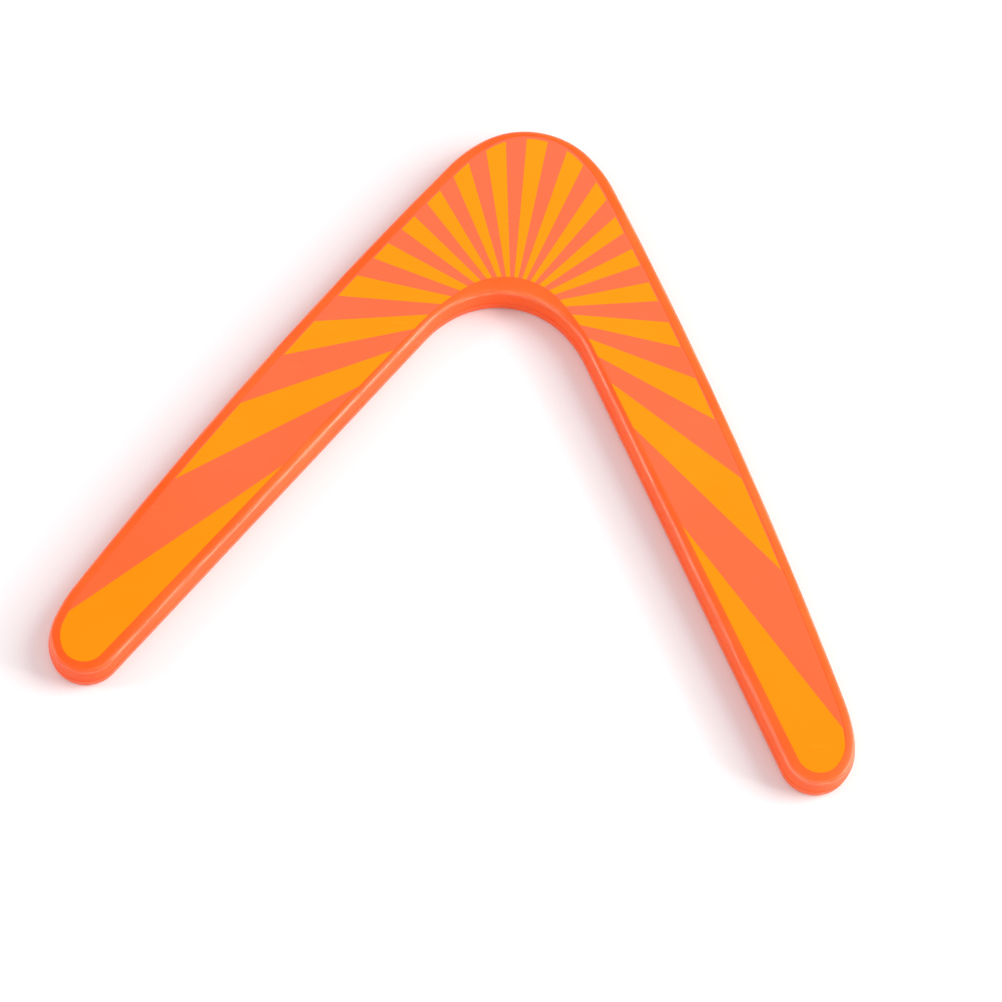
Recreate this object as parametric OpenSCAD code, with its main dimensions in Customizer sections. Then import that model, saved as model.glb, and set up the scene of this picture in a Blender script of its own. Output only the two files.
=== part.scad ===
// V-shaped throwing boomerang, moulded as two hollow half shells that meet at mid height,
// with a printed label film let into the upper face.
// The body and the label each have an outline that is one chain of tangent arcs, drawn for
// the right arm and mirrored. The two aren't parallel: the rim is widest inside the notch.
// Angles along a chain are those of the outline's outward normal, measured from +X.

/* [Size] */
// Overall thickness, from the resting face to the upper face
body_h = 14; // [12:0.5:16]
// Height of the plane where the two half shells meet
seam_z = 6; // [5:0.25:6.5]
// Distance from the centre of the sunburst to the outer apex
apex_y = 79.6; // [79:0.2:82]
// Length of the long outer side of one arm
side_len = 226.5; // [226:0.5:230]

/* [Body outline] */
// Angle between the straight inner edges of the two arms
notch_angle = 63.3; // [62.8:0.1:63.8]
// Radius of the outer apex
apex_r = 34.5; // [33:0.5:37]
// Radius of the shoulder between the apex and the long side
shoulder_r = 55; // [50:1:60]
// Lean of the outer side from the line of symmetry, where it leaves the shoulder
side_lean = 33; // [32.8:0.1:33.2]
// Radius of the long, gently bowed outer side
side_r = 2000; // [1900:25:2150]
// Radius where the outer side starts to turn in to the tip
tip_lead_r = 63; // [58:1:68]
// Radius of the outer corner of the tip
tip_outer_r = 19.5; // [19:0.1:20]
// Radius round the end of the tip
tip_end_r = 13.7; // [13.4:0.1:14]
// Radius between the straight inner edge and the notch
elbow_r = 45; // [40:1:50]
// Radius of the inner apex, at the bottom of the notch
notch_r = 33; // [31:0.5:35]

/* [Edge profile] */
// Draft of the side wall, from the seam up to the crease
wall_draft = 0.8; // [0.4:0.1:1]
// Distance from the crease's corner at which its rounding starts
crease_w = 0.5; // [0.4:0.1:0.8]
// Drop of the sloping shoulder between the label and the crease
shoulder_drop = 1.1; // [0.6:0.1:1.4]
// Distance from the lower corner at which its rounding starts
base_round = 1.6; // [0.8:0.1:2]
// Depth of the fine groove along the seam
seam_groove = 0.15; // [0.1:0.05:0.25]

/* [Shell] */
// Thickness of the side walls, the roof and the floor
wall_t = 1.5; // [1.2:0.1:1.6]
// Height of the lip on the lower half that locates the upper half
lip_h = 1.2; // [0.8:0.1:1.6]
// Clearance round the locating lip
lip_gap = 0.1; // [0.05:0.05:0.15]
// Radius of each weld post
post_r = 2.2; // [1.8:0.1:2.8]
// Number of weld posts along each arm
post_count = 4; // [3:1:6]

/* [Label outline] */
// Distance from the centre of the sunburst to the label's outer apex
label_apex_y = 75.8; // [75.5:0.1:76]
// Length of the label's long outer side
label_side_len = 225.5; // [225:0.5:226]
// Angle between the label's straight inner edges
label_notch_angle = 64.6; // [64.4:0.1:64.8]
// Radius of the label's outer apex
label_apex_r = 26.8; // [26:0.2:27.6]
// Radius of the label's shoulder
label_shoulder_r = 63.8; // [62:0.2:65]
// Lean of the label's outer side, where it leaves the shoulder
label_side_lean = 33.2; // [33.1:0.1:33.3]
// Radius of the label's long outer side
label_side_r = 1970; // [1900:10:2050]
// Radius where the label's outer side starts to turn in to the tip
label_tip_lead_r = 56.8; // [55:0.2:58]
// Radius of the outer corner of the label's tip
label_tip_outer_r = 15.3; // [15:0.1:15.5]
// Radius round the end of the label's tip
label_tip_end_r = 8.6; // [8.4:0.1:8.8]
// Radius between the label's straight inner edge and its notch
label_elbow_r = 93; // [88:1:96]
// Radius at the bottom of the label's notch
label_notch_r = 27.2; // [26:0.2:28]

/* [Label film and rays] */
// Thickness of the label film
label_t = 0.2; // [0.15:0.05:0.3]
// Thickness of the printed rays
ink_t = 0.1; // [0.05:0.05:0.15]
// Gap between the film and the wall of its seat
label_gap = 0.1; // [0.05:0.05:0.15]
// Width of plain ground left beyond the outer ends of the rays
ray_rim = 1.2; // [0.6:0.1:1.8]
// Angle from one ray to the next in a full, unstretched sunburst
ray_pitch = 15; // [15:7.5:30]
// Stretch of the sunburst along the line of symmetry
ray_stretch = 1.17; // [1:0.01:1.25]

/* [Hidden] */

// Angles of the normal at the outer and inner apex, where the outline crosses the line of symmetry
apex_normal = 90;
notch_normal = -90;
// Angles of the normal where each outer apex gives way to its shoulder
apex_end = 51.5;
label_apex_end = 49;
// Angle of the normal where the tip's outer corner gives way to its end
tip_outer_end = -29;
// Angles that each elbow turns through, from the inner edge to the notch
elbow_turn = 20.5;
label_elbow_turn = 15.8;

// Furthest that a straight step of the outline may stray from its arc
max_sag = 0.05;

// Arcs of an outline, each as [radius, normal's angle at its end]
function outer_arcs(radii, first_end, lean, length, inner_edge) =
    let (side_end = lean - length / radii[2] * 180 / PI)
    [[radii[0], first_end], [radii[1], lean], [radii[2], side_end],
     [radii[3], side_end / 2], [radii[4], tip_outer_end], [radii[5], inner_edge]];
function hollow_arcs(radii, turn, inner_edge) = [[radii[0], inner_edge + turn], [radii[1], notch_normal]];
function inner_normal(angle) = angle / 2 - 180;

// A shape is [distance to its outer apex, normal's angle on its inner edge, outer arcs, hollow arcs]
body_inner = inner_normal(notch_angle);
body_shape = [apex_y, body_inner,
              outer_arcs([apex_r, shoulder_r, side_r, tip_lead_r, tip_outer_r, tip_end_r],
                         apex_end, side_lean, side_len, body_inner),
              hollow_arcs([elbow_r, notch_r], elbow_turn, body_inner)];
label_inner = inner_normal(label_notch_angle);
label_shape = [label_apex_y, label_inner,
               outer_arcs([label_apex_r, label_shoulder_r, label_side_r, label_tip_lead_r,
                           label_tip_outer_r, label_tip_end_r],
                          label_apex_end, label_side_lean, label_side_len, label_inner),
               hollow_arcs([label_elbow_r, label_notch_r], label_elbow_turn, label_inner)];

function normal(a) = [cos(a), sin(a)];
function arc_start(arcs, first, i) = i == 0 ? first : arcs[i - 1][1];

// Number of straight steps for each arc, the same for both shapes so that their points pair up
function arc_steps(arcs, first) =
    [for (i = [0:len(arcs) - 1])
        let (turn = abs(arcs[i][1] - arc_start(arcs, first, i)),
             step = 2 * acos(1 - max_sag / arcs[i][0]))
        max(3, ceil(turn / step))];
outer_steps = arc_steps(body_shape[2], apex_normal);
hollow_steps = arc_steps(body_shape[3], body_inner);

// Points of a chain of arcs that starts at p with the normal at angle first;
// grow is added to every radius, and side is 1 for a bulging chain or -1 for a hollow one
function chain(arcs, steps, p, first, grow, side, i = 0) =
    i == len(arcs) ? [] :
    let (a0 = arc_start(arcs, first, i), a1 = arcs[i][1], n = steps[i],
         r = side * (arcs[i][0] + grow),
         points = [for (k = [1:n]) p + r * (normal(a0 + (a1 - a0) * k / n) - normal(a0))])
    concat(points, chain(arcs, steps, points[n - 1], first, grow, side, i + 1));

// Right half of a shape's outline, set in by d, from the outer apex round the tip to the notch
function right_half(shape, d) =
    let (apex = [0, shape[0] - d],
         inner = shape[1],
         bulge = concat([apex], chain(shape[2], outer_steps, apex, apex_normal, -d, 1)),
         hollow = chain(shape[3], hollow_steps, [0, 0], inner, d, -1),
         tip = bulge[len(bulge) - 1],
         turn = hollow[len(hollow) - 1],
         along = [sin(inner), -cos(inner)],
         elbow = tip + along * (-(tip[0] + turn[0]) / along[0]))
    concat(bulge, [elbow], [for (p = hollow) elbow + p]);

// The whole outline of a shape, anticlockwise, set in by d, with the sunburst's centre at [0, 0]
function outline(shape, d) =
    let (half = right_half(shape, d), n = len(half))
    concat([for (i = [0:n - 1]) [-half[i][0], half[i][1]]],
           [for (i = [n - 2:-1:1]) half[i]]);

// The part's box in Y, from which its origin is set at the middle of its resting face
base_outline = outline(body_shape, 0);
box_top = max([for (p = base_outline) p[1]]);
box_bottom = min([for (p = base_outline) p[1]]);
sun_y = -(box_top + box_bottom) / 2;

// Heights
seat_z = body_h - label_t - ink_t;
label_top = seat_z + label_t;
roof_z = seat_z - wall_t;
crease_z = body_h - shoulder_drop;
lip_top = seam_z + lip_h;

// A point at distance d from a on the way to b
function toward(a, b, d) = a + (b - a) * d / norm(b - a);

// A section's corner, rounded by a smooth bend that starts and ends at distance d from it
function rounded(before, corner, after, d, steps) =
    let (a = toward(corner, before, d), c = toward(corner, after, d))
    [for (k = [0:steps])
        let (t = k / steps)
        a * (1 - t) * (1 - t) + corner * 2 * t * (1 - t) + c * t * t];

// Sections of the side wall, as [setback from the body's outline, height] pairs
groove_h = 0.4;
rim_split = wall_t / 2;
wall_top = [0, seam_z + groove_h];
wall_bottom = [0, seam_z - groove_h];
crease = [wall_draft, crease_z];
base_corner = [wall_draft / 2, 0];
// Setback beyond which the floor and the shoulder run on flat or straight
flat_from = 3;
upper_wall = concat(rounded([flat_from, body_h], crease, wall_top, crease_w, 2),
                    [wall_top, [seam_groove, seam_z]]);
upper_inside = [[rim_split, seam_z],
                [rim_split, lip_top + lip_gap],
                [wall_t + seam_groove, lip_top + lip_gap],
                [wall_t + wall_draft, crease_z - wall_t]];
lower_inside = [[wall_t + wall_draft, base_round + wall_t / 2],
                [wall_t + seam_groove, lip_top],
                [rim_split + lip_gap, lip_top],
                [rim_split + lip_gap, seam_z]];
lower_wall = concat([[seam_groove, seam_z], wall_bottom],
                    rounded(wall_bottom, base_corner, [flat_from, 0], base_round, 3));

// Rings of points, each at one height, that follow the body's outline or the label's
function body_rings(section) =
    [for (place = section) [for (p = outline(body_shape, place[0])) [p[0], p[1], place[1]]]];
function label_ring(setback, z) = [for (p = outline(label_shape, setback)) [p[0], p[1], z]];

// Flat land left round the seat of the label
shoulder_land = 0.3;
upper_rings = concat([label_ring(0, seat_z), label_ring(0, body_h), label_ring(-shoulder_land, body_h)],
                     body_rings(upper_wall), body_rings(upper_inside), [label_ring(0, roof_z)]);
lower_rings = concat([label_ring(0, wall_t)], body_rings(lower_inside), body_rings(lower_wall));

// Weld posts stand at the elbow and on the middle line of each arm
elbow_post = [0, 45];
arm_root = [30, 22];
arm_tip = [134, -148];
post_places = concat([elbow_post],
    [for (i = [1:post_count]) for (s = [-1, 1])
        let (p = arm_root + (arm_tip - arm_root) * i / (post_count + 0.5))
        [s * p[0], p[1]]]);

// A closed solid skinned over rings of equal length, the first and last of which are closed flat
module ring_solid(rings) {
    count = len(rings[0]);
    last = len(rings) - 1;
    points = [for (ring = rings) each ring];
    sides = [for (r = [0:last - 1]) for (i = [0:count - 1])
        let (a = r * count + i, b = r * count + (i + 1) % count)
        each [[a, b, b + count], [a, b + count, a + count]]];
    first_cap = [for (i = [count - 1:-1:0]) i];
    last_cap = [for (i = [0:count - 1]) last * count + i];
    polyhedron(points, concat([first_cap], sides, [last_cap]), convexity = 8);
}

module posts(low, high) {
    for (p = post_places)
        translate([p[0], p[1], low]) cylinder(h = high - low, r = post_r, $fn = 32);
}

// Moves a shape drawn about the sunburst's centre into the part's own frame
module placed() {
    translate([0, sun_y, 0]) children();
}

module lower_shell() {
    color("orangered") placed() {
        ring_solid(lower_rings);
        posts(wall_t / 2, seam_z);
    }
}

module upper_shell() {
    color("orangered") placed() {
        ring_solid(upper_rings);
        posts(seam_z, roof_z + wall_t / 2);
    }
}

module label_film() {
    color("coral") placed()
        translate([0, 0, seat_z])
            linear_extrude(label_t) polygon(outline(label_shape, label_gap));
}

// One golden ray, long enough to cross the label; its angle is that before stretching
module ray(angle) {
    reach = 320;
    function edge(a) = reach * [sin(a), ray_stretch * cos(a)];
    polygon([[0, 0], edge(angle - ray_pitch / 4), edge(angle + ray_pitch / 4)]);
}

// The rays fill the film up to a fine border, and stop short of its outer edge by the plain rim
module sun_rays() {
    last_angle = 140;
    last_ray = floor(last_angle / ray_pitch);
    border = outline(label_shape, 2 * label_gap);
    color("orange") placed()
        translate([0, 0, label_top])
            linear_extrude(ink_t)
                intersection() {
                    polygon(border);
                    translate([0, -ray_rim]) polygon(border);
                    union() for (i = [-last_ray:last_ray]) ray(i * ray_pitch);
                }
}

lower_shell();
upper_shell();
label_film();
sun_rays();
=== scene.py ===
"""Looks of a V-shaped throwing boomerang of moulded plastic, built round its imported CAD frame.

Each of the four CAD nodes is replaced by a finer mesh: two half shells with rounded edges, the label film
and the printed rays of its sunburst. Shapes are drawn in millimetres and become meshes in metres.
Heights come from the frame. The outlines of the body and of its label are the CAD ones: chains of tangent
arcs, drawn for the right arm and mirrored. An outline's angles are those of its outward normal, measured
from +X, in degrees.
"""

import math

import bpy
import numpy as np
from mathutils import Matrix, Vector, noise
from mathutils.geometry import delaunay_2d_cdt


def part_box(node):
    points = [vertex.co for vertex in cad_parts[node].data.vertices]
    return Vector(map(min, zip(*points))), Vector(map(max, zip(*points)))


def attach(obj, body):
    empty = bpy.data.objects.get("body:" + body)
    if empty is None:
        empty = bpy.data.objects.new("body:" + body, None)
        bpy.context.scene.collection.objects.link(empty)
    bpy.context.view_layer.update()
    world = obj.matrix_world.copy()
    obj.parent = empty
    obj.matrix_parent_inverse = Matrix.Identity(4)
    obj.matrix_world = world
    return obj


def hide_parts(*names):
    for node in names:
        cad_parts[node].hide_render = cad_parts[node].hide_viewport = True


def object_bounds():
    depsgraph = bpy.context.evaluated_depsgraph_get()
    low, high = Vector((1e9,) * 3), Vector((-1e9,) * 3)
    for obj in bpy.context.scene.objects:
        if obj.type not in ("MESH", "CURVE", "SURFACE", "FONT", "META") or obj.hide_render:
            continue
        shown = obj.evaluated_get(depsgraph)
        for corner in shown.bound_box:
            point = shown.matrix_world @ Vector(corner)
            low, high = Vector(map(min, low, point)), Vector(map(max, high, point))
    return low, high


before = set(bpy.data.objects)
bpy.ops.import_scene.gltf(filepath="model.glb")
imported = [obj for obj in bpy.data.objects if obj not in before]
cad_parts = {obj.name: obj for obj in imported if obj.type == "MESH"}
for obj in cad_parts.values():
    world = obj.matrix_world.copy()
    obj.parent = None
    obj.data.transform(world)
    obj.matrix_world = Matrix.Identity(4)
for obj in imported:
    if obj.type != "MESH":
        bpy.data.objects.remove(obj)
cad_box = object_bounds()

MM = 0.001

# ------------------------------------------------------------------ heights, from the frame


def heights(node):
    low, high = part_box(node)
    return low.z / MM, high.z / MM


SEAM_Z, BODY_H = heights("upper_shell")
LIP_TOP = heights("lower_shell")[1]
SEAT_Z, LABEL_TOP = heights("label_film")
BODY_BACK_Y = cad_box[1].y / MM

# ------------------------------------------------------------------ outlines

APEX_NORMAL = 90
NOTCH_NORMAL = -90
TIP_OUTER_END = -29


class Shape:
    """An outline's arcs, as pairs of a radius and the angle where it ends: outer ones from the apex round the
    tip, and hollow ones from the straight inner side to the notch. side_len is the length of the third outer
    arc, which is the arm's nearly straight side."""

    def __init__(
        self, apex_y, notch_angle, apex_end, lean, side_len, outer_radii, elbow_turn, hollow_radii
    ):
        side_end = lean - math.degrees(side_len / outer_radii[2])
        self.apex_y = apex_y
        self.inner = notch_angle / 2 - 180
        outer_ends = [apex_end, lean, side_end, side_end / 2, TIP_OUTER_END, self.inner]
        self.outer = list(zip(outer_radii, outer_ends))
        self.hollow = list(zip(hollow_radii, [self.inner + elbow_turn, NOTCH_NORMAL]))


BODY = Shape(
    apex_y=79.6,
    notch_angle=63.3,
    apex_end=51.5,
    lean=33,
    side_len=226.5,
    outer_radii=[34.5, 55, 2000, 63, 19.5, 13.7],
    elbow_turn=20.5,
    hollow_radii=[45, 33],
)
LABEL = Shape(
    apex_y=75.8,
    notch_angle=64.6,
    apex_end=49,
    lean=33.2,
    side_len=225.5,
    outer_radii=[26.8, 63.8, 1970, 56.8, 15.3, 8.6],
    elbow_turn=15.8,
    hollow_radii=[93, 27.2],
)

MAX_SAG = 0.004
MAX_CHORD = 2.0


def unit(angles):
    turned = np.radians(np.asarray(angles, float))
    return np.stack([np.cos(turned), np.sin(turned)], -1)


def arc_steps(arcs, first):
    """Number of steps for each arc, close enough together for MAX_SAG and MAX_CHORD."""
    steps = []
    for radius, last in arcs:
        step = min(2 * math.acos(1 - MAX_SAG / radius), MAX_CHORD / radius)
        steps.append(max(2, math.ceil(abs(math.radians(last - first)) / step)))
        first = last
    return steps


# The same for both shapes, so that their points pair up
OUTER_STEPS = arc_steps(BODY.outer, APEX_NORMAL)
HOLLOW_STEPS = arc_steps(BODY.hollow, BODY.inner)
STRAIGHT_STEPS = 80


def chain(arcs, steps, start, first, grow, side):
    """Points and normal angles along tangent arcs, with their radii grown. side is 1 where they bulge and -1
    where they are hollow."""
    points, angles = [], []
    for (radius, last), count in zip(arcs, steps):
        turn = np.linspace(first, last, count + 1)[1:]
        reach = side * (radius + grow)
        points.append(start + reach * (unit(turn) - unit(first)))
        angles.append(turn)
        start, first = points[-1][-1], last
    return np.concatenate(points), np.concatenate(angles)


def right_half(shape, inset):
    """Points and normals from the outer apex round the right tip to the notch, set in by inset."""
    apex = np.array([0, shape.apex_y - inset])
    bulge, bulge_angles = chain(shape.outer, OUTER_STEPS, apex, APEX_NORMAL, -inset, 1)
    hollow, hollow_angles = chain(shape.hollow, HOLLOW_STEPS, np.zeros(2), shape.inner, inset, -1)
    along = unit(shape.inner - 90)
    length = -(bulge[-1][0] + hollow[-1][0]) / along[0]
    steps = np.arange(1, STRAIGHT_STEPS + 1)[:, None] / STRAIGHT_STEPS
    straight = bulge[-1] + along * length * steps
    points = np.concatenate([[apex], bulge, straight, straight[-1] + hollow])
    straight_angles = np.full(STRAIGHT_STEPS, shape.inner)
    angles = np.concatenate([[APEX_NORMAL], bulge_angles, straight_angles, hollow_angles])
    return points, unit(angles)


MIRROR = np.array([-1, 1])
SUN_Y = BODY_BACK_Y - BODY.apex_y


def outline(shape, inset):
    """The whole outline, anticlockwise from the outer apex, with its outward normals, in the shared frame."""
    points, normals = right_half(shape, inset)
    loop = np.concatenate([points * MIRROR, points[-2:0:-1]]) + (0, SUN_Y)
    return loop, np.concatenate([normals * MIRROR, normals[-2:0:-1]])


# The label's edge counts as this far in from the body's, though the real distance differs along the rim
LABEL_INSET = 4.2
BODY_TO = 1.9
LABEL_FROM = 3.7


def ring(setback):
    """The outline at a nominal setback: the body's own up to BODY_TO, the label's from LABEL_FROM on, and a
    blend of the two in between."""
    body, _ = outline(BODY, min(setback, BODY_TO))
    label, _ = outline(LABEL, max(setback, LABEL_FROM) - LABEL_INSET)
    share = min(1, max(0, (setback - BODY_TO) / (LABEL_FROM - BODY_TO)))
    return body * (1 - share) + label * share


BASE, BASE_NORMALS = outline(BODY, 0)
STEPS = np.linalg.norm(np.roll(BASE, -1, 0) - BASE, axis=1)
ALONG = np.concatenate([[0], np.cumsum(STEPS)[:-1]])
# Distance along the outline from the outer apex, the same on both arms, so that it never jumps
FROM_APEX = STEPS.sum() / 2 - np.abs(ALONG - STEPS.sum() / 2)

# ------------------------------------------------------------------ section

WALL_T = 1.5
WALL_DRAFT = 0.8
CREASE_W = 0.5
SHOULDER_DROP = 1.1
BROW_SETBACK = 2.7
BROW_DROP = 0.3
SEAT_EDGE_W = 0.35
SEAT_EDGE_R = 0.06
RIDGE_R = 0.8
BROW_R = 3.0
CREASE_R = 1.9
UPPER_SEAM_R = 0.5
LOWER_SEAM_R = 0.7
BASE_ROUND = 1.6
BASE_RIM_W = 0.6
INSIDE_R = 1.0
SEAM_GROOVE = 0.12
GROOVE_H = 0.4
RIM_STEP = 0.12
LIP_GAP = 0.1
RIM_SPLIT = WALL_T / 2
CREASE_D = WALL_DRAFT + CREASE_W / 2
CREASE_Z = BODY_H - SHOULDER_DROP

# Corners of each half's section, from its upper face round the outside to its lower face:
# (setback, height, radius). The skin is what shows, and the rest is inside the boomerang.
UPPER_SKIN = [
    (LABEL_INSET, SEAT_Z, 0),
    (LABEL_INSET, BODY_H, SEAT_EDGE_R),
    (LABEL_INSET - SEAT_EDGE_W, BODY_H, RIDGE_R),
    (BROW_SETBACK, BODY_H - BROW_DROP, BROW_R),
    (CREASE_D, CREASE_Z, CREASE_R),
    (RIM_STEP, SEAM_Z + GROOVE_H, UPPER_SEAM_R),
    (RIM_STEP + SEAM_GROOVE, SEAM_Z, 0),
]
UPPER_INSIDE = [
    (RIM_SPLIT, SEAM_Z, 0),
    (RIM_SPLIT, LIP_TOP + LIP_GAP, 0),
    (WALL_T + SEAM_GROOVE, LIP_TOP + LIP_GAP, 0),
    (WALL_T + WALL_DRAFT, CREASE_Z - WALL_T, INSIDE_R),
    (LABEL_INSET, SEAT_Z - WALL_T, 0),
]
LOWER_INSIDE = [
    (LABEL_INSET, WALL_T, 0),
    (WALL_T + WALL_DRAFT, BASE_ROUND + WALL_T / 2, INSIDE_R),
    (WALL_T + SEAM_GROOVE, LIP_TOP, 0),
    (RIM_SPLIT + LIP_GAP, LIP_TOP, 0),
    (RIM_SPLIT + LIP_GAP, SEAM_Z, 0),
]
LOWER_SKIN = [
    (SEAM_GROOVE, SEAM_Z, 0),
    (0, SEAM_Z - GROOVE_H, LOWER_SEAM_R),
    (WALL_DRAFT / 2, 0, BASE_ROUND),
    (WALL_DRAFT / 2 + BASE_ROUND + BASE_RIM_W, 0, 0),
]


ARC_STEP = 12


def rounded(corners):
    """The points of a profile, with each corner that has a radius turned into an arc."""
    points = []
    for i, (setback, height, radius) in enumerate(corners):
        corner = Vector((setback, height))
        if radius == 0:
            points.append(corner)
            continue
        before = (Vector(corners[i - 1][:2]) - corner).normalized()
        after = (Vector(corners[i + 1][:2]) - corner).normalized()
        half = before.angle(after) / 2
        count = max(2, math.ceil((180 - 2 * math.degrees(half)) / ARC_STEP))
        middle = (before + after).normalized()
        centre = corner + middle * radius / math.sin(half)
        side = (before - after).normalized()
        spread = math.pi / 2 - half
        for k in range(count + 1):
            turn = spread * (1 - 2 * k / count)
            points.append(centre + (side * math.sin(turn) - middle * math.cos(turn)) * radius)
    return points


def subdivided(points, longest):
    """The same polyline with no step over longest."""
    finer = [points[0]]
    for a, b in zip(points, points[1:]):
        count = max(1, math.ceil((b - a).length / longest))
        finer += [a.lerp(b, k / count) for k in range(1, count + 1)]
    return finer


# ------------------------------------------------------------------ meshes


def inside(points, loop):
    """True for each point inside a closed loop."""
    crossings = np.zeros(len(points), int)
    for p, q in zip(loop, np.roll(loop, -1, 0)):
        if p[1] == q[1]:
            continue
        spans = (p[1] > points[:, 1]) != (q[1] > points[:, 1])
        crossing_x = p[0] + (points[:, 1] - p[1]) * (q[0] - p[0]) / (q[1] - p[1])
        crossings += spans & (points[:, 0] < crossing_x)
    return crossings % 2 == 1


def grid_inside(loop, pitch):
    """Points of a staggered grid inside a closed loop."""
    low, high = loop.min(0), loop.max(0)
    x, y = np.meshgrid(np.arange(low[0], high[0], pitch), np.arange(low[1], high[1], pitch))
    x[::2] += pitch / 2
    points = np.column_stack([x.ravel(), y.ravel()])
    return points[inside(points, loop)]


def triangulated(loops, extra):
    """The plane cut into triangles by closed loops, through extra points.

    Returns the points, the number that each had among the loops' and extra points, or None where two edges
    cross, and for each triangle its corners and the numbers of the loops that hold it.
    """
    faces, start = [], 0
    for loop in loops:
        faces.append(list(range(start, start + len(loop))))
        start += len(loop)
    given = [Vector(p) for p in np.concatenate([*loops, extra])]
    points, _, triangles, sources, _, holders = delaunay_2d_cdt(given, [], faces, 0, 1e-5)
    return points, [s[0] if s else None for s in sources], list(zip(triangles, map(set, holders)))


def closed_solid(profile, top_points, bottom_points):
    """Rings of the outline at each (setback, height) of the profile, which runs from the upper face round
    the outside to the lower face. Both faces are filled with triangles through the points given."""
    count = len(BASE)
    loops = [ring(place.x) for place in profile]
    points = [np.column_stack([loop, np.full(count, place.y)]) for loop, place in zip(loops, profile)]
    faces = []
    for r in range(len(profile) - 1):
        for i in range(count):
            a, b = r * count + i, r * count + (i + 1) % count
            faces.append((a, a + count, b + count, b))
    start = len(profile) * count
    for r, extra, turn in ((0, top_points, 1), (len(profile) - 1, bottom_points, -1)):
        _, sources, triangles = triangulated([loops[r]], extra)
        number = [s + r * count if s < count else s - count + start for s in sources]
        faces += [tuple(number[i] for i in corners)[::turn] for corners, held in triangles if held]
        points.append(np.column_stack([extra, np.full(len(extra), profile[r].y)]))
        start += len(extra)
    return np.concatenate(points), faces


SHARP_ANGLE = 40


def add_piece(name, points, faces):
    mesh = bpy.data.meshes.new(name)
    mesh.from_pydata((points * MM).tolist(), [], faces)
    mesh.shade_smooth()
    mesh.set_sharp_from_angle(angle=math.radians(SHARP_ANGLE))
    piece = bpy.data.objects.new(name, mesh)
    bpy.context.scene.collection.objects.link(piece)
    return piece


def add_attribute(piece, name, values):
    """Gives the piece's points an attribute of numbers, or of vectors."""
    values = np.asarray(values, np.float32)
    kind, key = ("FLOAT", "value") if values.ndim == 1 else ("FLOAT_VECTOR", "vector")
    piece.data.attributes.new(name, kind, "POINT").data.foreach_set(key, values.ravel())


# ------------------------------------------------------------------ half shells

SKIN_STEP = 0.3
# Width of the crease band that is rubbed smoother and painted with pale highlight streaks
WEAR_AND_HIGHLIGHT_SPREAD = 0.8
FADE_STEPS = 3
# The depths of the skin's runs, each with its lengths along the outline, across it and along X
RUNS = [(0.022, (45, 2.5, 70)), (0.010, (14, 0.9, 70))]
RUN_INSET = 0.03
NO_POINTS = np.zeros((0, 2))


def unevenness(along, across, x):
    """How far the moulded skin strays from its nominal line, in mm: long shallow runs, and finer ones. The
    inset keeps nearly all of it inside the nominal line."""
    stray = -RUN_INSET
    for depth, lengths in RUNS:
        stray += depth * noise.noise(Vector((along / lengths[0], across / lengths[1], x / lengths[2])))
    return stray


# The CAD's weld posts, measured from the sun's centre, and the marks that they leave
ELBOW_POST = (0, 45)
ARM_ROOT = np.array([30, 22])
ARM_TIP = np.array([134, -148])
POST_COUNT = 4
SINK_DEPTH = 0.07
SINK_R = 2.4


def post_places():
    """Where the CAD's weld posts stand: one at the elbow, and the rest on the middle line of each arm."""
    arm = [ARM_ROOT + (ARM_TIP - ARM_ROOT) * i / (POST_COUNT + 0.5) for i in range(1, POST_COUNT + 1)]
    return np.array([ELBOW_POST, *arm, *[p * MIRROR for p in arm]]) + (0, SUN_Y)


def sink_marks(places):
    """How far the underside has drawn in, in mm, where the weld posts stand on it."""
    away = np.linalg.norm(places[:, None] - post_places()[None], axis=2)
    return SINK_DEPTH * np.exp(-((away / SINK_R) ** 2)).sum(1)


def half_shell(name, before, skin, after, bottom_points):
    """One moulded half. Its skin is slightly uneven, and its underside has sink marks. The skin carries these
    attributes: strip, the place along and across it, and the place along X, in metres; wall, 1 on the skin
    and 0 elsewhere; wear_and_highlight, 1 on the crease, where the skin is rubbed smoother and where pale
    highlight streaks are painted."""
    count = len(BASE)
    before, skin = rounded(before), subdivided(rounded(skin), SKIN_STEP)
    rings = before + skin + rounded(after)
    points, faces = closed_solid(rings, NO_POINTS, bottom_points)
    underside = points[:, 2] == 0
    points[underside, 2] += sink_marks(points[underside, :2])
    strip = np.zeros((len(points), 3))
    wall, wear_and_highlight = np.zeros(len(points)), np.zeros(len(points))
    across = 0
    for k, place in enumerate(skin):
        r = len(before) + k
        rows = slice(r * count, (r + 1) * count)
        across += (place - skin[max(0, k - 1)]).length
        ramp = min(1, k / FADE_STEPS, (len(skin) - 1 - k) / FADE_STEPS)
        stray = np.array([unevenness(s, across, p[0]) for s, p in zip(FROM_APEX, BASE)])
        points[rows, :2] += BASE_NORMALS * (stray * ramp)[:, None]
        strip[rows] = np.column_stack([FROM_APEX, np.full(count, across), BASE[:, 0]]) * MM
        wall[rows] = ramp
        # The crease band: rubbed smoother here, and painted here with pale highlight streaks in the body's
        # colour
        wear_and_highlight[rows] = math.exp(-((place - Vector((CREASE_D, CREASE_Z))).length / WEAR_AND_HIGHLIGHT_SPREAD) ** 2)
    piece = add_piece(name, points, faces)
    add_attribute(piece, "strip", strip)
    add_attribute(piece, "wall", wall)
    add_attribute(piece, "wear_and_highlight", wear_and_highlight)
    return piece


# ------------------------------------------------------------------ label and rays

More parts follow.
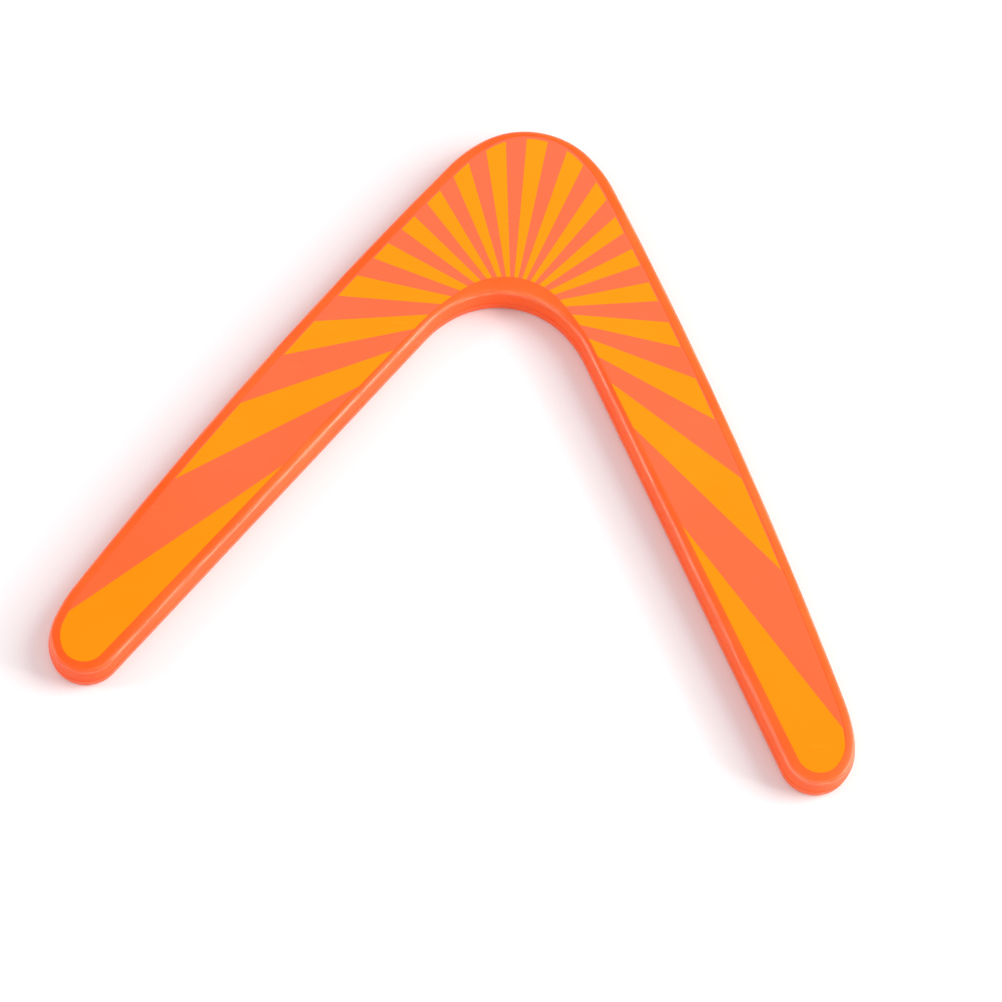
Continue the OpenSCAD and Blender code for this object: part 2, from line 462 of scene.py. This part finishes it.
LABEL_GAP = 0.04
FILM_PITCH = 2.5
FILM_EDGE = 0.05
FILM_RISE = 0.05
FILM_TOP = LABEL_TOP + FILM_RISE
WAVE_HEIGHT = 0.015
WAVE_LENGTH = 26
RIPPLE_SHARE = 0.4
RIPPLE_LENGTH = 9
INK_T = 0.02
INK_SINK = 0.03
RAY_RIM = 1.2
RAY_PITCH = 15
RAY_SHARE = 0.5
RAY_STRETCH = 1.17
LAST_RAY = 9


def film_height(x, y):
    """Height of the label's upper surface, which lies a little wavy in its seat."""
    wave = noise.noise(Vector((x / WAVE_LENGTH, y / WAVE_LENGTH, 0.5)))
    ripple = noise.noise(Vector((x / RIPPLE_LENGTH, y / RIPPLE_LENGTH, 3.5)))
    return FILM_TOP + WAVE_HEIGHT * (wave + RIPPLE_SHARE * ripple)


def label_film():
    inset = LABEL_INSET + LABEL_GAP
    profile = [
        Vector((inset + 3 * FILM_EDGE, FILM_TOP)),
        Vector((inset + FILM_EDGE, FILM_TOP - FILM_EDGE / 4)),
        Vector((inset, FILM_TOP - FILM_EDGE)),
        Vector((inset, SEAT_Z)),
    ]
    loop = ring(profile[0].x)
    points, faces = closed_solid(profile, grid_inside(loop, FILM_PITCH), NO_POINTS)
    upper = points[:, 2] > FILM_TOP - 1e-6
    points[upper, 2] = [film_height(x, y) for x, y, _ in points[upper]]
    return add_piece("label_film_fine", points, faces)


def sunburst():
    """The printed rays: wedges about the sun's centre, cut to the label with a plain rim past their ends."""
    loop = ring(LABEL_INSET + 2 * LABEL_GAP)
    reach = 2 * (loop.max(0) - loop.min(0)).max()
    loops = [loop, loop - (0, RAY_RIM)]
    for i in range(-LAST_RAY, LAST_RAY + 1):
        sides = np.array([i - RAY_SHARE / 2, i + RAY_SHARE / 2])
        edges = unit(APEX_NORMAL - sides * RAY_PITCH) * (1, RAY_STRETCH)
        loops.append(np.concatenate([[(0, 0)], edges[::-1] * reach]) + (0, SUN_Y))
    plan, _, triangles = triangulated(loops, grid_inside(loop, FILM_PITCH))
    top = [t for t, held in triangles if {0, 1} < held]
    used = sorted({i for t in top for i in t})
    number = {i: k for k, i in enumerate(used)}
    top = [tuple(number[i] for i in t) for t in top]
    surface = np.array([film_height(*plan[i]) for i in used])
    flat = np.array([plan[i][:] for i in used])
    count = len(used)
    upper, lower = surface + INK_T, surface - INK_SINK
    points = np.concatenate([np.column_stack([flat, upper]), np.column_stack([flat, lower])])
    steps = {(t[k], t[(k + 1) % 3]) for t in top for k in range(3)}
    rim = [(a, b) for a, b in steps if (b, a) not in steps]
    faces = top + [tuple(i + count for i in t[::-1]) for t in top]
    faces += [(b, a, a + count, b + count) for a, b in sorted(rim)]
    return add_piece("sun_rays_fine", points, faces)


# ------------------------------------------------------------------ materials


def srgb(red, green, blue):
    """A colour given as 0 to 255 in sRGB, as linear values with alpha."""
    return tuple(((c / 255 + 0.055) / 1.055) ** 2.4 for c in (red, green, blue)) + (1,)


# The third body colour is pale: for random specks, and for the painted highlight streaks along the crease
BODY_DEEP, BODY_PALE, BODY_RUB_AND_HIGHLIGHT = srgb(250, 89, 26), srgb(252, 100, 40), srgb(255, 175, 135)
CORAL = srgb(250, 95, 42), srgb(252, 108, 74), srgb(255, 150, 112)
GOLD = srgb(249, 130, 0), srgb(252, 146, 19), srgb(255, 180, 70)
PAPER_DEEP, PAPER_PALE = srgb(237, 237, 237), srgb(241, 241, 241)


NOISE_RANGE = 0.3, 0.7


class Shader:
    """A material with one Principled surface, whose nodes are added by name."""

    def __init__(self, name):
        self.material = bpy.data.materials.new(name)
        self.material.use_nodes = True
        self.tree = self.material.node_tree
        self.surface = self.tree.nodes["Principled BSDF"]

    def add(self, kind, inputs=None, **settings):
        node = self.tree.nodes.new("ShaderNode" + kind)
        for key, value in settings.items():
            setattr(node, key, value)
        self.feed(node, inputs or {})
        return node

    def feed(self, node, inputs):
        for key, value in inputs.items():
            if isinstance(value, bpy.types.NodeSocket):
                self.tree.links.new(value, node.inputs[key])
            else:
                node.inputs[key].default_value = value

    def noise(self, place, scale, detail=2.0, roughness=0.5):
        values = {"Vector": place, "Scale": scale, "Detail": detail, "Roughness": roughness}
        return self.add("TexNoise", values).outputs["Fac"]

    def stretched(self, place, scales):
        mapped = self.add("Mapping", {"Vector": place, "Scale": scales})
        return mapped.outputs["Vector"]

    def remap(self, value, low, high, to_low, to_high):
        values = {"Value": value, "From Min": low, "From Max": high, "To Min": to_low, "To Max": to_high}
        return self.add("MapRange", values).outputs["Result"]

    def spread(self, pattern, low, high):
        """Takes a noise, nearly all of which lies in NOISE_RANGE, to values from low to high."""
        return self.remap(pattern, *NOISE_RANGE, low, high)

    def math(self, operation, a, b):
        return self.add("Math", {0: a, 1: b}, operation=operation).outputs["Value"]

    def mix(self, factor, first, second):
        return self.add("MixRGB", {"Fac": factor, "Color1": first, "Color2": second}).outputs["Color"]

    def bump(self, height, distance, normal=None):
        node = self.add("Bump", {"Height": height, "Distance": distance, "Strength": 1})
        if normal is not None:
            self.feed(node, {"Normal": normal})
        return node.outputs["Normal"]

    def attribute(self, name, output="Fac"):
        return self.add("Attribute", attribute_name=name).outputs[output]

    def set_surface(self, colour, roughness, normal, shine):
        values = {"Base Color": colour, "Roughness": roughness, "Normal": normal, "Specular IOR Level": shine}
        self.feed(self.surface, values)


# Noise scales, per metre, and for the patterns that follow the wall: along it, across it and along X
FLOW_SCALE = 28
SPECK_SCALE = 2600
DAPPLE_SCALE = 420
GRAIN_SCALE = 3800
CREASE_STREAK_SCALES = (55, 2200, 40)
RUN_SCALES = (110, 2600, 60)

# Bump depths, in metres
GRAIN_DEPTH = 0.000012
DAPPLE_DEPTH = 0.00003
RUN_DEPTH = 0.00009

# The parts of a noise's range over which its pattern appears, and how strongly
FLOW_RANGE = 0.35, 0.65
SPECK_RANGE, SPECKS_SHOWN = (0.60, 0.75), 0.10
# The crease's pale streaks are partly rub wear and partly a painted highlight
CREASE_STREAK_RANGE, CREASE_STREAKS_SHOWN = (0.42, 0.62), 0.7

SMOOTH, ROUGH = 0.27, 0.39
FLOW_ROUGHNESS = 0.03
CREASE_SMOOTHING = 0.15
WALL_SHINE, CREASE_SHINE = 0.10, 0.62


def body_plastic():
    """Satin moulded plastic: faint flow marks, fine runs along the wall, and a crease that is smoother and
    shinier, with pale streaks in places that are partly rub wear and partly a painted highlight."""
    shader = Shader("orange_moulded_plastic")
    place = shader.add("TexCoord").outputs["Object"]
    strip = shader.attribute("strip", "Vector")
    wall, wear_and_highlight = shader.attribute("wall"), shader.attribute("wear_and_highlight")

    flow = shader.noise(place, FLOW_SCALE, detail=3)
    colour = shader.mix(shader.remap(flow, *FLOW_RANGE, 0, 1), BODY_DEEP, BODY_PALE)
    specks = shader.noise(place, SPECK_SCALE, detail=1)
    colour = shader.mix(shader.remap(specks, *SPECK_RANGE, 0, SPECKS_SHOWN), colour, BODY_RUB_AND_HIGHLIGHT)
    # Pale streaks along the crease: partly rub wear, partly a painted highlight where the crease catches the
    # light
    crease_streaks = shader.noise(shader.stretched(strip, CREASE_STREAK_SCALES), 1, detail=3, roughness=0.7)
    rub_and_highlight = shader.math("MULTIPLY", shader.remap(crease_streaks, *CREASE_STREAK_RANGE, 0, CREASE_STREAKS_SHOWN), wear_and_highlight)
    colour = shader.mix(rub_and_highlight, colour, BODY_RUB_AND_HIGHLIGHT)

    runs = shader.noise(shader.stretched(strip, RUN_SCALES), 1, detail=4, roughness=0.65)
    normal = shader.bump(shader.noise(place, GRAIN_SCALE), GRAIN_DEPTH)
    normal = shader.bump(shader.noise(place, DAPPLE_SCALE), DAPPLE_DEPTH, normal=normal)
    normal = shader.bump(shader.math("MULTIPLY", runs, wall), RUN_DEPTH, normal=normal)

    streaks = shader.spread(runs, SMOOTH, ROUGH)
    clouds = shader.spread(flow, -FLOW_ROUGHNESS, FLOW_ROUGHNESS)
    smoothing = shader.remap(wear_and_highlight, 0, 1, 0, CREASE_SMOOTHING)
    roughness = shader.math("SUBTRACT", shader.math("ADD", streaks, clouds), smoothing)
    shine = shader.remap(wear_and_highlight, 0, 1, WALL_SHINE, CREASE_SHINE)
    shader.set_surface(colour, roughness, normal, shine)
    return shader.material


DRIFT_SCALE = 22
DOT_SCALE = 2500
PEEL_SCALE = 300
HAIR_SCALES = (55, 900, 1)
DOT_DEPTH = 0.000006
PEEL_DEPTH = 0.000025
# How much paler the print is painted at the apex: painted light, not a change in the ink
APEX_PAINTED_LIGHT = 0.7
MOTTLING = 0.2
HAIR_RANGE, HAIRS_SHOWN = (0.66, 0.72), 0.12
PRINT_SMOOTH, PRINT_ROUGH = 0.36, 0.44
PRINT_SHINE = 0.06


def printed(name, colours):
    """Satin print in a deep, a pale and a scuffed colour, with painted light that makes it paler towards the
    apex. Its density drifts, and it has a fine dot texture, orange peel and hairline scuffs."""
    deep, pale, scuffed = colours
    shader = Shader(name)
    place = shader.add("TexCoord").outputs["Object"]
    drift = shader.noise(place, DRIFT_SCALE)
    dots = shader.noise(place, DOT_SCALE, detail=1)
    y = shader.add("SeparateXYZ", {"Vector": place}).outputs["Y"]
    # Painted light: the print grows paler towards the apex, as if lit more strongly at that end
    ramp = shader.remap(y, cad_box[0].y, cad_box[1].y, 0, APEX_PAINTED_LIGHT)
    clouds = shader.spread(drift, 0, MOTTLING)
    grains = shader.spread(dots, 0, MOTTLING)
    paleness = shader.math("ADD", ramp, shader.math("ADD", clouds, grains))
    colour = shader.mix(paleness, deep, pale)
    hairs = shader.noise(shader.stretched(place, HAIR_SCALES), 1, detail=3, roughness=0.6)
    scuffs = shader.remap(hairs, *HAIR_RANGE, 0, HAIRS_SHOWN)
    colour = shader.mix(scuffs, colour, scuffed)
    normal = shader.bump(dots, DOT_DEPTH)
    normal = shader.bump(shader.noise(place, PEEL_SCALE), PEEL_DEPTH, normal=normal)
    satin = shader.spread(drift, PRINT_SMOOTH, PRINT_ROUGH)
    roughness = shader.math("ADD", satin, scuffs)
    shader.set_surface(colour, roughness, normal, PRINT_SHINE)
    return shader.material


FIBRE_SCALE = 900
PAPER_ROUGHNESS = 0.9


def floor_material():
    shader = Shader("white_paper")
    place = shader.add("TexCoord").outputs["Object"]
    fibres = shader.noise(place, FIBRE_SCALE, detail=3)
    colour = shader.mix(fibres, PAPER_DEEP, PAPER_PALE)
    shader.feed(shader.surface, {"Base Color": colour, "Roughness": PAPER_ROUGHNESS})
    return shader.material


# ------------------------------------------------------------------ pieces

UNDERSIDE_SETBACK = 6
UNDERSIDE_PITCH = 1.2

underside_points = grid_inside(ring(UNDERSIDE_SETBACK), UNDERSIDE_PITCH)
upper_half = half_shell("upper_half", [], UPPER_SKIN, UPPER_INSIDE, NO_POINTS)
lower_half = half_shell("lower_half", LOWER_INSIDE, LOWER_SKIN, [], underside_points)
label = label_film()
rays = sunburst()

body_material = body_plastic()
looks = [
    (upper_half, "upper_shell", "body", body_material),
    (lower_half, "lower_shell", "body", body_material),
    (label, "label_film", "label", printed("coral_film", CORAL)),
    (rays, "sun_rays", "rays", printed("golden_ink", GOLD)),
]
for piece, node, slot, material in looks:
    piece.data.materials.append(material)
    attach(piece, "root")
    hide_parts(node)

# ------------------------------------------------------------------ floor, light and camera

middle = (cad_box[0] + cad_box[1]) / 2
FLOOR_SIZE = 12.0
FLOOR_DROP = 0.00005
WHITE = (1, 1, 1)
KEY_WHITE = (0.96, 1, 1)
STRIP_WHITE = (0.98, 1, 1)
WARM_SKY = (1, 0.90, 0.925, 1)


def aimed(azimuth, elevation):
    """Unit vector from the object towards a viewpoint. Azimuth 0 is at -Y, and 90 at +X."""
    a, e = math.radians(azimuth), math.radians(elevation)
    return Vector((math.sin(a) * math.cos(e), -math.cos(a) * math.cos(e), math.sin(e)))


def add_floor():
    half = FLOOR_SIZE / 2
    corners = [(-half, -half, 0), (half, -half, 0), (half, half, 0), (-half, half, 0)]
    mesh = bpy.data.meshes.new("floor")
    mesh.from_pydata(corners, [], [(0, 1, 2, 3)])
    floor = bpy.data.objects.new("floor", mesh)
    floor.location = (0, 0, -FLOOR_DROP)
    floor.data.materials.append(floor_material())
    bpy.context.scene.collection.objects.link(floor)


def add_softbox(name, azimuth, elevation, distance, size, power, colour=WHITE):
    """An elliptic lamp of a width and a height, aimed at the middle of the object."""
    data = bpy.data.lights.new(name, "AREA")
    data.shape, data.energy, data.color = "ELLIPSE", power, colour
    data.size, data.size_y = size
    lamp = bpy.data.objects.new(name, data)
    towards = aimed(azimuth, elevation)
    lamp.location = middle + towards * distance
    lamp.rotation_euler = towards.to_track_quat("Z", "Y").to_euler()
    bpy.context.scene.collection.objects.link(lamp)


def add_sky(strength, colour):
    world = bpy.data.worlds.new("studio")
    world.use_nodes = True
    background = world.node_tree.nodes["Background"]
    background.inputs["Color"].default_value = colour
    background.inputs["Strength"].default_value = strength
    bpy.context.scene.world = world


def add_camera(azimuth, elevation, roll, distance, lens, target):
    """Roll turns the picture's content clockwise, in degrees."""
    data = bpy.data.cameras.new("camera")
    data.lens = lens
    camera = bpy.data.objects.new("camera", data)
    back = aimed(azimuth, elevation)
    upright = back.to_track_quat("Z", "Y").to_matrix().to_4x4()
    place = Matrix.Translation(target + back * distance)
    camera.matrix_world = place @ upright @ Matrix.Rotation(math.radians(roll), 4, "Z")
    bpy.context.scene.collection.objects.link(camera)
    bpy.context.scene.camera = camera


add_floor()
# The sky and the key give the soft shade, and the lower lamps draw the bright lines along the crease
add_sky(strength=0.76, colour=WARM_SKY)
add_softbox("key", azimuth=110, elevation=46, distance=4.4, size=(2.4, 2.4), power=80, colour=KEY_WHITE)
add_softbox("strip", azimuth=98, elevation=25, distance=2.4, size=(2.0, 0.75), power=32, colour=STRIP_WHITE)
add_softbox("glint_left_arm", azimuth=80, elevation=22, distance=2.2, size=(0.24, 0.24), power=7)
add_softbox("fill", azimuth=-80, elevation=28, distance=1.8, size=(0.4, 0.3), power=6)

aim = middle + Vector((0.0072, -0.0330, 0.0070))
add_camera(azimuth=0.62, elevation=68, roll=8, distance=1.345, lens=128.2, target=aim)
bpy.context.scene.view_settings.view_transform = "Standard"
